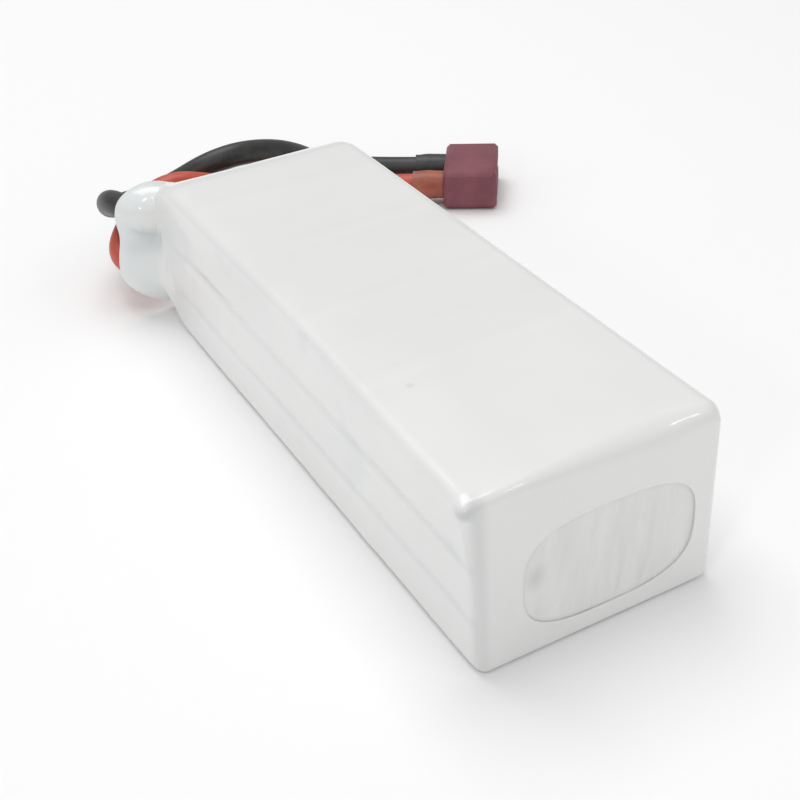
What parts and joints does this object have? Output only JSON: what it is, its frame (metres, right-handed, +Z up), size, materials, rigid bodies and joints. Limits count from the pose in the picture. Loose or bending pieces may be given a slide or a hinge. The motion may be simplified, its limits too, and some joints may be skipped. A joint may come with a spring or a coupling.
{
  "type": "lipo battery pack",
  "caption": "Soft-pack flight battery of stacked pouch cells in white heat-shrink, with a red and a black silicone lead looping back from one end to a T connector.",
  "frame": {"origin": "middle of the flat underside of the sleeved block of cells", "axes": "+Z up, +Y along the pack towards the end that the leads leave, +X to the right seen from the plain end"},
  "size_m": [0.0857, 0.1377, 0.0273],
  "materials": {
    "white_shrink": "glossy",
    "clear_tape": "satin",
    "white_foam": "matte",
    "pouch_foil": "satin",
    "aluminium_tab": "satin",
    "nickel_tab": "satin",
    "tab_film": "satin",
    "adhesive": "matte",
    "fish_paper": "matte",
    "circuit_board": "satin",
    "solder": "glossy",
    "copper_strands": "satin",
    "red_silicone": "matte",
    "black_silicone": "matte",
    "plug_nylon": "satin",
    "gold_plate": "glossy",
    "red_shrink": "satin",
    "black_shrink": "satin"
  },
  "bodies": {
    "root": {"black_lead": "black_silicone", "black_lead_board_solder": "solder", "black_lead_board_strands": "copper_strands", "black_lead_plug_strands": "copper_strands", "black_plug_contact": "gold_plate", "black_plug_sleeve": "black_shrink", "black_plug_spring": "gold_plate", "board_cover_pad": "white_foam", "cell_1": "pouch_foil", "cell_1_negative_tab": "nickel_tab", "cell_1_positive_tab": "aluminium_tab", "cell_2": "pouch_foil", "cell_2_negative_tab": "nickel_tab", "cell_2_positive_tab": "aluminium_tab", "cell_3": "pouch_foil", "cell_3_negative_tab": "nickel_tab", "cell_3_positive_tab": "aluminium_tab", "connection_board": "circuit_board", "end_foam_pad": "white_foam", "end_tape": "clear_tape", "heatshrink_sleeve": "white_shrink", "insulating_card": "fish_paper", "lead_end_tape_band": "clear_tape", "lower_adhesive_pad": "adhesive", "plain_end_tape_band": "clear_tape", "plug_housing": "plug_nylon", "red_lead": "red_silicone", "red_lead_board_solder": "solder", "red_lead_board_strands": "copper_strands", "red_lead_plug_strands": "copper_strands", "red_plug_contact": "gold_plate", "red_plug_sleeve": "red_shrink", "red_plug_spring": "gold_plate", "tab_films": "tab_film", "tab_solder_joints": "solder", "upper_adhesive_pad": "adhesive"}
  },
  "joints": []
}
